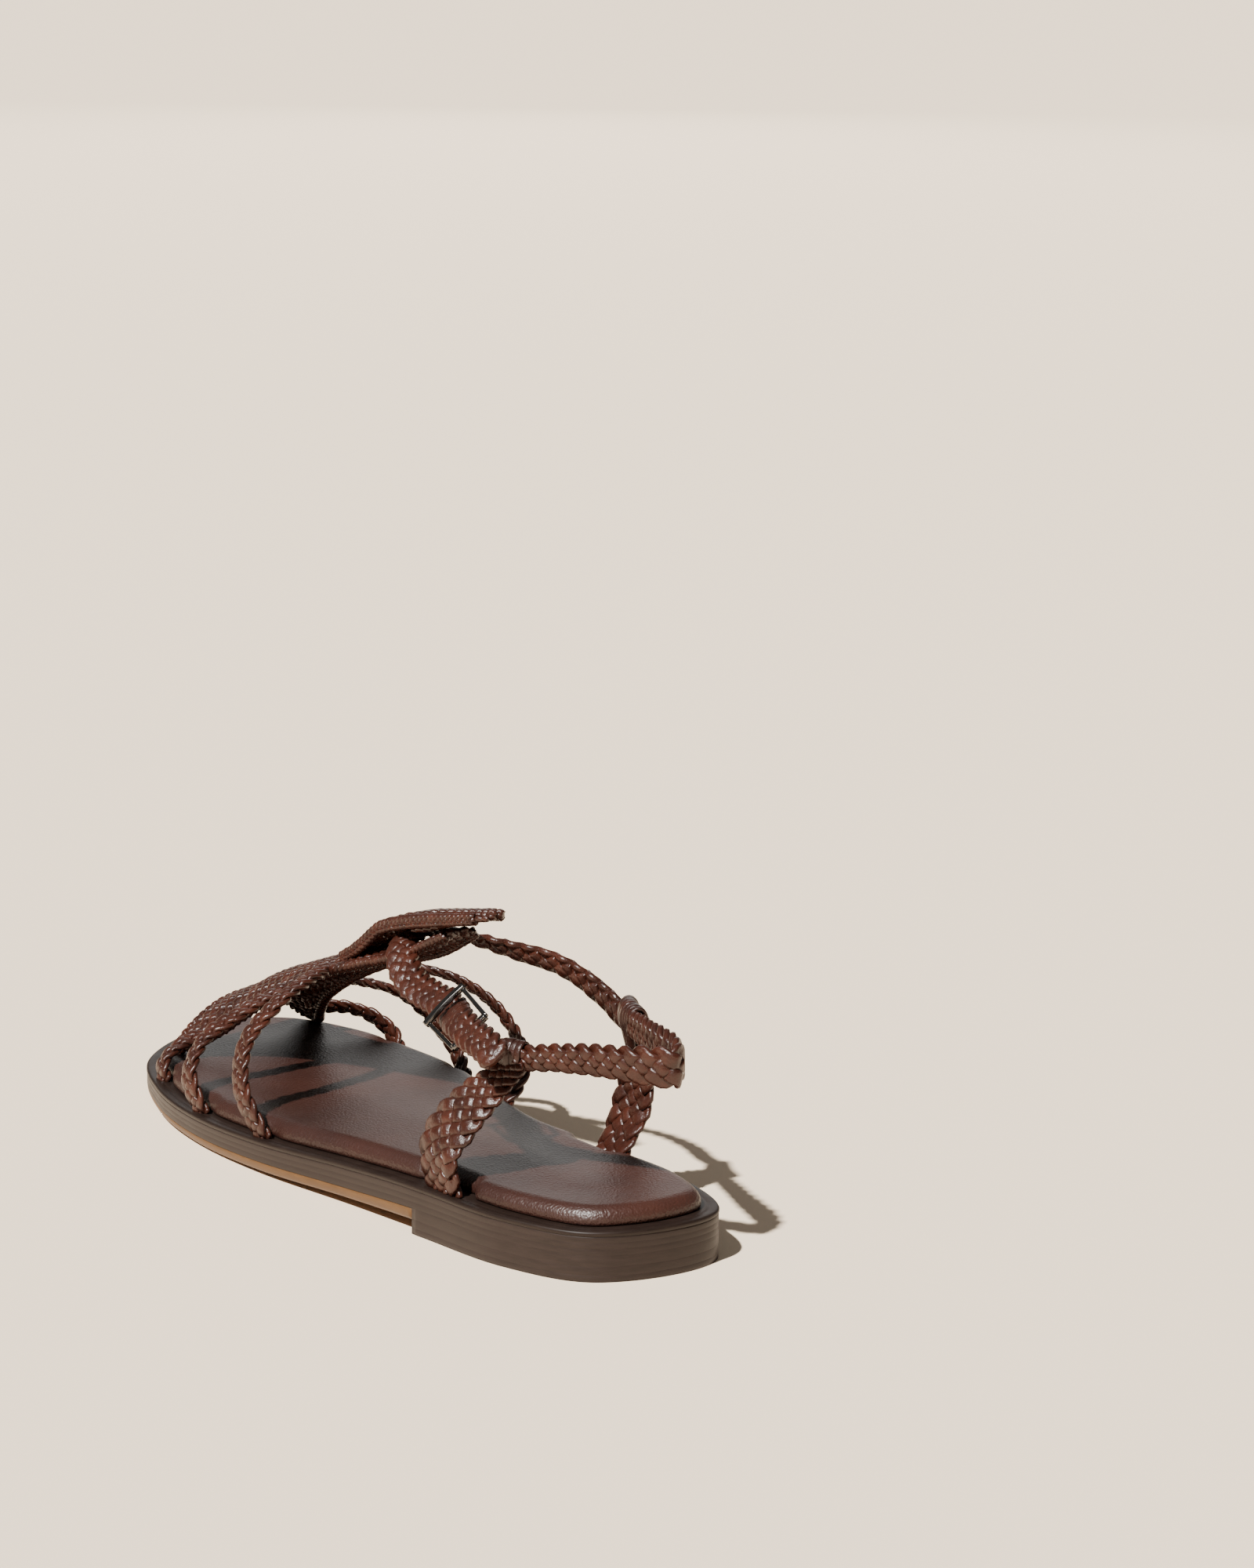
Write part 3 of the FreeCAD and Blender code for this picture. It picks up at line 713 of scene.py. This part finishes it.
FOOT_GATHER = 0.45               # share of a strand's place along the loop that its feet are gathered by
STRAND_HALF = (1.15, 0.48)       # half width and half thickness of a strand


def make_loop(name, centre, ahead, behind, out, hang, count, reach, lean_by, foot_by, seed):
    """Smooth unwoven ends of a quarter strap, folded side by side over the ankle strap and back down."""
    draw = random.Random(seed)
    build = Build()
    for shift in np.linspace(-reach, reach, count):
        along = ahead if shift > 0 else behind
        spread = abs(shift) / reach
        tall = LOOP_TALL - 0.6 * spread + draw.uniform(-0.1, 0.1)
        deep = LOOP_DEEP - 0.2 * spread
        lean = LOOP_LEAN * (1 - np.sin(LOOP_TURN)) * lean_by
        middle = centre + along * shift + UP * 0.2
        ring = (middle + np.outer(np.sin(LOOP_TURN) * tall, UP) + np.outer(np.cos(LOOP_TURN) * deep, out)
                - np.outer(lean * np.sign(shift) * spread, along))
        normals = np.outer(np.sin(LOOP_TURN), UP) + np.outer(np.cos(LOOP_TURN), out)
        foot_out = middle + hang * (FOOT_OUTSIDE - spread) + out * foot_by - along * shift * FOOT_GATHER
        foot_in = middle + hang * (FOOT_INSIDE - spread) - out * 0.4 - along * shift * FOOT_GATHER
        path = smooth(np.vstack([foot_out, ring[2:-2:3], foot_in]), 0.4)
        near = np.argmin(np.linalg.norm(path[:, None] - ring[None], axis=2), axis=1)
        build.thong(path, normals[near], *STRAND_HALF, 12, square=0.6)
    # The loop strands take the darker leather: their darkness is painted shade, not a darker leather.
    build.piece(name + "_loop_strands", SHOE, SHADED_LOOP_LEATHER, [name + "_quarter_loop"])


def make_loops():
    inner_out = unit(np.cross(unit(INNER_FORWARD + INNER_BEHIND), UP))
    outer_out = -unit(np.cross(unit(OUTER_FORWARD + OUTER_BEHIND), UP))
    make_loop("medial", INNER_LOOP, INNER_FORWARD, INNER_BEHIND, inner_out, -UP, count=8, reach=6.6,
              lean_by=1, foot_by=1.7, seed=57)
    make_loop("lateral", OUTER_LOOP, OUTER_FORWARD, OUTER_BEHIND, outer_out, OUTER_HANG, count=5, reach=3.0,
              lean_by=0.4, foot_by=0.6, seed=58)


def from_ankle(p):
    """Outward direction round the ankle."""
    return np.array([p[0] - 4.0, p[1] - 58.0, 0.0])


def make_heel_strap():
    route = [INNER_LOOP + INNER_FORWARD * 1.0, (22.4, 55, 50.2), (18, 42, 50.9), (13.4, 27, 51.4),
             (9.4, 13.5, 51.6), (4.2, 5.5, 51.6), (-1.0, 12, 51.2), (-6, 23, 50.5), (-12, 34.8, 49.5),
             (-17.6, 43.6, 48.2), OUTER_LOOP + OUTER_FORWARD * 1.0]
    widths = [6.8, 7.8, 9.0, 10.4, 11.8, 12.2, 11.6, 10.0, 8.8, 7.8, 6.8]
    build = Build()
    braid(build, Ribbon(route, from_ankle), widths, HEEL_STRAP_THICK, "heel", 71, camber=0.4)
    return build.piece("heel_strap_braid", None, BRAID, ["heel_strap"])


def blend_heel_strap(strap):
    """Bakes the strap's placement into its mesh."""
    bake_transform(strap)


def buckle_axes():
    """Directions along the buckle to its front bar, across it, and out from its face."""
    along = unit(BUCKLE_FRONT - BUCKLE_HEEL)
    wide = unit(np.cross(along, np.array([-0.72, 0.0, 0.69])))
    return along, wide, unit(np.cross(wide, along))


def facing_buckle(p):
    """Outward direction for the outer half of the ankle strap: it turns to lie flat in the buckle."""
    share = min(max((p[1] - BUCKLE_FRONT[1]) / (INSTEP[1] - BUCKLE_FRONT[1]), 0.0), 1.0)
    return buckle_axes()[2] * (1 - share) + unit(from_line(2, 25)(p)) * share


UNDER_FRONT_BAR = 3.3            # from the middle of the buckle down to the middle of the ankle strap
OVER_HEEL_BAR = 4.3              # and up to it, where it has passed over the heel bar
TIP_LENGTH = 2.0


def make_ankle_straps():
    along, _, out = buckle_axes()
    heel, front = BUCKLE_HEEL, BUCKLE_FRONT
    inner = [INNER_LOOP + INNER_FORWARD * 2.0, INNER_LOOP + INNER_FORWARD * 6.0, (31.0, 73, 46.8),
             (31.2, 84, 50.2), (26.5, 97, 55.8), (17.5, 112.5, 58.6), (8, 123.5, 61.4), INSTEP]
    outer = [INSTEP, (-8, 121.5, 58.6), (-11.6, 109, 53), front + along * 9 - out * (UNDER_FRONT_BAR + 0.4),
             front + along * 1.0 - out * UNDER_FRONT_BAR, heel + along * 9 + out * 1.2,
             heel + out * OVER_HEEL_BAR, heel - along * 8 + out * (OVER_HEEL_BAR - 0.2), (-28.0, 45, 53),
             (-28.4, 37, 51)]
    build = Build()
    braid(build, Ribbon(inner, from_line(2, 42)), [7.2, 8.2, 8.6, 8.8, 8.8], 3.6, "inner_ankle", 81,
          camber=0.3)
    build.piece("ankle_strap_inner_braid", SHOE, BRAID, ["ankle_strap_medial"])
    ribbon = Ribbon(outer, facing_buckle)
    build = Build()
    braid(build, ribbon, [9.0, 9.8, 10, 9.8, 9.4], 3.4, "outer_ankle", 83, camber=0.4,
          end=ribbon.length - 1.2)
    build.piece("ankle_strap_outer_braid", SHOE, BRAID, ["ankle_strap_lateral"])
    make_tip(ribbon)


def make_tip(ribbon):
    """Short rounded end of the tail, its thongs pressed together and trimmed."""
    build = Build()
    u = np.linspace(ribbon.length - TIP_LENGTH, ribbon.length, 16)
    share = np.linspace(0, 1, 16)
    half = 4.2 * np.sqrt(np.clip(1 - (share * 0.9) ** 2.5, 0.05, 1))
    path = ribbon.at(u, np.zeros_like(u), -0.15 - 0.5 * share ** 2)
    build.thong(path, ribbon.normal_at(u), half, 1.45 - 0.5 * share ** 4, 24)
    build.piece("strap_tip_cap", SHOE, BRAID, ["strap_tip"])


FOLD_RADIUS = 1.95               # of the strap where it is folded round the buckle's heel bar


def make_buckle_strap():
    along, wide, out = buckle_axes()
    route = [OUTER_LOOP + OUTER_FORWARD * 2.0, OUTER_LOOP + OUTER_FORWARD * 6.0,
             BUCKLE_HEEL - along * 5 - out * 0.6, BUCKLE_HEEL - along * 1.6 - out * 0.9]
    build = Build()
    braid(build, Ribbon(route, from_line(2, 25)), [6.6, 7.4, 7.5], 2.6, "stub", 91)
    turn = np.linspace(0, 2 * math.pi, 36, endpoint=False)
    normals = np.outer(np.cos(turn), along) + np.outer(np.sin(turn), out)
    for s in np.linspace(-3.1, 3.1, 5):
        ring = (BUCKLE_HEEL + wide * s + np.outer(np.cos(turn) * FOLD_RADIUS, along)
                + np.outer(np.sin(turn) * FOLD_RADIUS, out))
        build.thong(ring, normals, 0.78, 0.75, 10, closed=True)
    build.piece("buckle_strap_braid", SHOE, BRAID, ["buckle_strap"])


# ---- woven panel ------------------------------------------------------------------------------------

# Sections of the panel: y, how far it slants (y per x), and the ridge's x and height, then the section's
# half width and the drop from ridge to edge.
PANEL = [(227, 0.27, 1, 24.5, 26.0, 12.0), (219, 0.27, 0.5, 27.8, 24.5, 12.8),
         (210, 0.27, 0.5, 31.5, 19.0, 11.5), (200, 0.27, 0.5, 36.3, 15.0, 9.5),
         (184, 0.2, 0.5, 42.0, 12.0, 6.5), (165, 0.05, 0.5, 48.3, 10.5, 4.0),
         (145, 0.0, 0.5, 53.8, 8.8, 3.0), (124, 0.0, 0.0, 59.9, 7.4, 2.4),
         (103, 0.0, -0.4, 68.4, 5.4, 1.6)]
PANEL_THICK = 2.6
PANEL_THONG = 2.9
ARCH = 1.33                      # length of an arch against its width: sqrt(1 + ARCH * (drop / half) ** 2)


class Panel:
    """The arched panel's middle surface: s runs from the free tip of the tongue to the toes."""

    def __init__(self):
        rows = PANEL[::-1]
        ridge = np.array([(x, y, z - PANEL_THICK / 2) for y, _, x, z, _, _ in rows], float)
        self.curve = smooth(ridge, 0.5)
        self.run = run_along(self.curve)
        self.length = self.run[-1]
        spots = [self.run[np.argmin(np.linalg.norm(self.curve - p, axis=1))] for p in ridge]
        self.fields = smooth([(s, r[4], r[5]) for s, r in zip(spots, rows)], 0.5)
        self.skews = smooth([(s, r[1], 0) for s, r in zip(spots, rows)], 0.5)

    def section(self, s):
        """Half width, drop and half width over the arch at s."""
        half = np.interp(s, self.fields[:, 0], self.fields[:, 1])
        drop = np.interp(s, self.fields[:, 0], self.fields[:, 2])
        return half, drop, half * np.sqrt(1 + ARCH * (drop / half) ** 2)

    def half(self, s):
        """Half of the panel's width, measured over its arch."""
        return self.section(s)[2]

    def point(self, s, v):
        half, drop, arched = self.section(s)
        skew = np.interp(s, self.skews[:, 0], self.skews[:, 1])
        w = v / arched
        ease = w * (1.0 + 0.12 * (1 - w ** 2) * np.minimum(drop / half, 0.6))
        ridge = np.stack([np.interp(s, self.run, self.curve[:, k]) for k in range(3)], -1)
        x = half * ease
        return ridge + np.stack([x, skew * x, -drop * ease ** 2], -1)

    def __call__(self, s, v):
        step = 0.25
        ds = self.point(s + step, v) - self.point(s - step, v)
        dv = self.point(s, v + step) - self.point(s, v - step)
        normal = unit(np.cross(dv, ds))
        normal *= np.sign(normal[:, 2:3])
        return self.point(s, v), normal


CHAIN_THICK = 3.2
CHAIN_STEPS = 400
RIM_STEPS = 120


def make_panel():
    panel = Panel()
    build = Build()
    weave_surface(build, panel, panel.length, panel.half, PANEL_THONG, PANEL_THICK, 101, margin=1.0)
    build.piece("vamp_weave", SHOE, BRAID, ["vamp_panel"])
    build = Build()
    for side in (-1, 1):
        s = np.linspace(1.2, panel.length - 1.4, CHAIN_STEPS)
        points, normals = panel(s, side * (panel.half(s) - 1.2))
        ribbon = Ribbon(points[::8], lambda p: UP)
        even, keys = np.linspace(0, 1, len(ribbon.path)), np.linspace(0, 1, CHAIN_STEPS)
        ribbon.normal = unit(np.stack([np.interp(even, keys, normals[:, k]) for k in range(3)], 1))
        ribbon.across = unit(np.cross(ribbon.normal, ribbon.along))
        braid(build, ribbon, [3.2, 3.8, 4.2, 4.4, 4.6], CHAIN_THICK, "chain", 111 + side)
    rim_v = np.linspace(-1, 1, RIM_STEPS)
    rim_s = np.full(RIM_STEPS, panel.length - 1.3)
    points, _ = panel(rim_s, rim_v * (panel.half(rim_s) - 1.4))
    ribbon = Ribbon(points[::6], lambda p: np.array([0.0, 0.5, 1.0]))
    braid(build, ribbon, [4.4, 4.4], CHAIN_THICK, "chain", 117)
    build.piece("vamp_edge_chain", SHOE, BRAID)
    make_fringe(panel)


FRINGE_COUNT = 150
FRINGE_SHARE = 0.62              # how far along the panel, from the tongue, the loose ends go


def make_fringe(panel):
    """Loose ends of thong, trimmed short along the underside of the panel's edges."""
    draw = random.Random(131)
    build = Build()
    for _ in range(FRINGE_COUNT):
        side = draw.choice((-1, 1))
        s = draw.uniform(20, panel.length * FRINGE_SHARE)
        start = np.array([s]), np.array([side * (panel.half(s) - draw.uniform(0.6, 2.2))])
        points, normals = panel(*start)
        ahead, _ = panel(start[0] + 4.0, start[1])
        along = unit(ahead[0] - points[0])
        out = unit(np.cross(along, normals[0])) * -side
        length = draw.uniform(2.0, 5.5)
        root = points[0] - normals[0] * PANEL_THICK / 2
        tip = root + along * length * draw.uniform(0.5, 1.0) - normals[0] * draw.uniform(0.2, 1.2) + out * 0.4
        middle = (root + tip) / 2 - normals[0] * draw.uniform(0.1, 0.5)
        path = smooth([root, middle, tip], 0.7)
        fade = np.linspace(1.0, 0.35, len(path))
        build.thong(path, np.tile(normals[0], (len(path), 1)), 0.26 * fade, 0.12 * fade, 6)
    build.piece("vamp_frayed_ends", SHOE, BRAID)


def make_tongue():
    """Upper layer of the weave: it leaves the panel, bridges the ankle strap and ends in a free tip."""
    route = [(0, 160, 49.3), (-0.1, 150, 53.9), (-0.3, 143, 58.0), (-0.4, 136, 62.6), (-0.6, 127.5, 65.6),
             (-0.9, 115, 68.9), (-1.2, 100, 72.1), (-1.5, 84, 75.3)]
    build = Build()
    ribbon = Ribbon(route, lambda p: np.array([0.0, 0.3, 1.0]))
    braid(build, ribbon, [11.0, 13.0, 13.6, 13.8, 13.6, 12.4, 10.4, 7.4], 3.0, "tongue", 141, camber=1.4)
    for side in (-1, 1):
        u = np.linspace(1.0, ribbon.length - 0.6, 60)
        half = np.interp(u / ribbon.length, np.linspace(0, 1, 8), [5.0, 6.1, 6.5, 6.6, 6.5, 5.9, 4.9, 3.0])
        edge = ribbon.at(u, side * half, np.full_like(u, -1.0))
        chain = Ribbon(edge[::4], lambda p, side=side: np.array([side * 0.9, 0.25, 0.8]))
        braid(build, chain, [3.6, 4.2, 4.2, 3.8, 3.0], 3.0, "chain", 151 + side)
    lower = Ribbon([(-0.7, 121, 64.8), (-0.9, 113, 66.8), (-1.1, 104, 69.6), (-1.3, 94, 72.2)],
                   lambda p: np.array([0.0, 0.3, 1.0]))
    braid(build, lower, [11.0, 10.4, 9.0, 6.5], 2.6, "stub", 161, camber=1.2)
    build.piece("tongue_braid", SHOE, BRAID, ["tongue"])


# ---- buckle -----------------------------------------------------------------------------------------

BUCKLE_HALF_FRONT = 6.2          # half width of the slide at its front bar and at its heel bar
BUCKLE_HALF_HEEL = 5.85
FRONT_BAR_PAST = 0.9             # how far the front bar reaches past the rails
FRONT_BAR_BOW = 0.4


def make_buckle():
    """Metal slide: the tail passes under its flat front bar and over its heel bar."""
    _, wide, out = buckle_axes()
    build = Build()
    reach = BUCKLE_HALF_FRONT + FRONT_BAR_PAST
    ends = [BUCKLE_FRONT + wide * side + out * 0.3 for side in (-reach, reach)]
    bar = np.linspace(ends[0], ends[1], 28)
    bar += np.outer(FRONT_BAR_BOW * np.sin(np.linspace(0, math.pi, 28)), out)
    build.thong(bar, np.tile(out, (28, 1)), 1.15, 0.8, 18, square=0.5)
    for side in (-1, 1):
        rail = np.linspace(BUCKLE_HEEL + wide * side * BUCKLE_HALF_HEEL,
                           BUCKLE_FRONT + wide * side * BUCKLE_HALF_FRONT, 30)
        build.thong(rail, np.tile(out, (30, 1)), 0.6, 0.6, 14)
    heel = np.linspace(BUCKLE_HEEL - wide * BUCKLE_HALF_HEEL, BUCKLE_HEEL + wide * BUCKLE_HALF_HEEL, 20)
    build.thong(heel, np.tile(out, (20, 1)), 0.95, 0.95, 16)
    build.piece("buckle_slide_metal", BUCKLE, METAL, ["buckle_frame"])


# ---- the rest ---------------------------------------------------------------------------------------

def dress_cad():
    """Finishes for the CAD nodes that stay in view or sit inside the sole."""
    finishes = {"shank": STEEL, "heel_nails": STEEL, "footbed_core": FOAM, "footbed_cover": FOOTBED,
                "outsole": TAN, "buckle_frame": METAL}
    for node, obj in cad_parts.items():
        obj.data.materials.clear()
        obj.data.materials.append(finishes.get(node, EDGE))


# Camera measured from the sandal itself: where it stands, and the way it looks, in millimetres.
CAMERA_AT = (-747.2, -1179.6, 413.5)
CAMERA_RIGHT = (0.8494, -0.5278, 0.0)
CAMERA_UP = (0.1069, 0.1721, 0.9793)
CAMERA_FORWARD = (0.5169, 0.8318, -0.2026)
CAMERA_ROLL = 0.012
CAMERA_LENS = 167.67
CAMERA_SENSOR = 36.0


def make_camera():
    camera = bpy.data.objects.new("camera", bpy.data.cameras.new("camera"))
    bpy.context.scene.collection.objects.link(camera)
    right, up, forward = Vector(CAMERA_RIGHT), Vector(CAMERA_UP), Vector(CAMERA_FORWARD)
    turn = Matrix((right, up, -forward)).transposed().to_4x4()
    place = Matrix.Translation(Vector((np.array(CAMERA_AT) * MM + BASE).tolist()))
    camera.matrix_world = place @ turn @ Matrix.Rotation(CAMERA_ROLL, 4, "Z")
    camera.data.lens = CAMERA_LENS
    camera.data.sensor_width = CAMERA_SENSOR
    camera.data.sensor_fit = "HORIZONTAL"
    camera.data.clip_end = 20.0
    bpy.context.scene.camera = camera


FLOOR_HALF = 14.0                # half the floor's side, in metres
LAMP_DISTANCE = 3.0


def make_stage():
    """Plain pale floor that fills the view."""
    mesh = bpy.data.meshes.new("floor")
    around = ((-1, -1), (1, -1), (1, 1), (-1, 1))
    corners = [(x * FLOOR_HALF, y * FLOOR_HALF, float(BASE[2])) for x, y in around]
    mesh.from_pydata(corners, [], [(0, 1, 2, 3)])
    floor = bpy.data.objects.new("floor", mesh)
    bpy.context.scene.collection.objects.link(floor)
    mat, _, _, bsdf = shader("paper_floor")
    bsdf.inputs["Base Color"].default_value = (0.98, 0.805, 0.615, 1.0)
    bsdf.inputs["Roughness"].default_value = 0.9
    bsdf.inputs["Specular IOR Level"].default_value = 0.1
    mesh.materials.append(mat)


def lamp(name, kind, energy, direction, size, colour):
    """A sun, where size is its angle, or a round area lamp, where size is its width in metres."""
    data = bpy.data.lights.new(name, kind)
    data.energy = energy
    data.color = colour
    if kind == "SUN":
        data.angle = size
    else:
        data.shape = "DISK"
        data.size = size
    obj = bpy.data.objects.new(name, data)
    bpy.context.scene.collection.objects.link(obj)
    to_lamp = Vector(direction).normalized()
    obj.location = to_lamp * LAMP_DISTANCE
    obj.rotation_euler = to_lamp.to_track_quat("Z", "Y").to_euler()


def make_lights():
    world = bpy.data.worlds.new("studio")
    bpy.context.scene.world = world
    world.use_nodes = True
    background = world.node_tree.nodes["Background"]
    background.inputs["Color"].default_value = (1.0, 0.95, 0.89, 1.0)
    background.inputs["Strength"].default_value = 0.16
    lamp("key", "SUN", 9.2, (-0.60, -0.26, 0.78), math.radians(2.0), (1.0, 0.975, 0.94))
    lamp("sheen", "AREA", 7.0, (0.52, 0.83, 0.30), 1.6, (1.0, 0.98, 0.95))


make_sole()
make_footbed()
make_toe_straps()
make_quarter_straps()
make_loops()
heel_braid = make_heel_strap()
make_ankle_straps()
make_buckle_strap()
make_panel()
make_tongue()
make_buckle()
dress_cad()
blend_heel_strap(heel_braid)
make_camera()
make_stage()
make_lights()
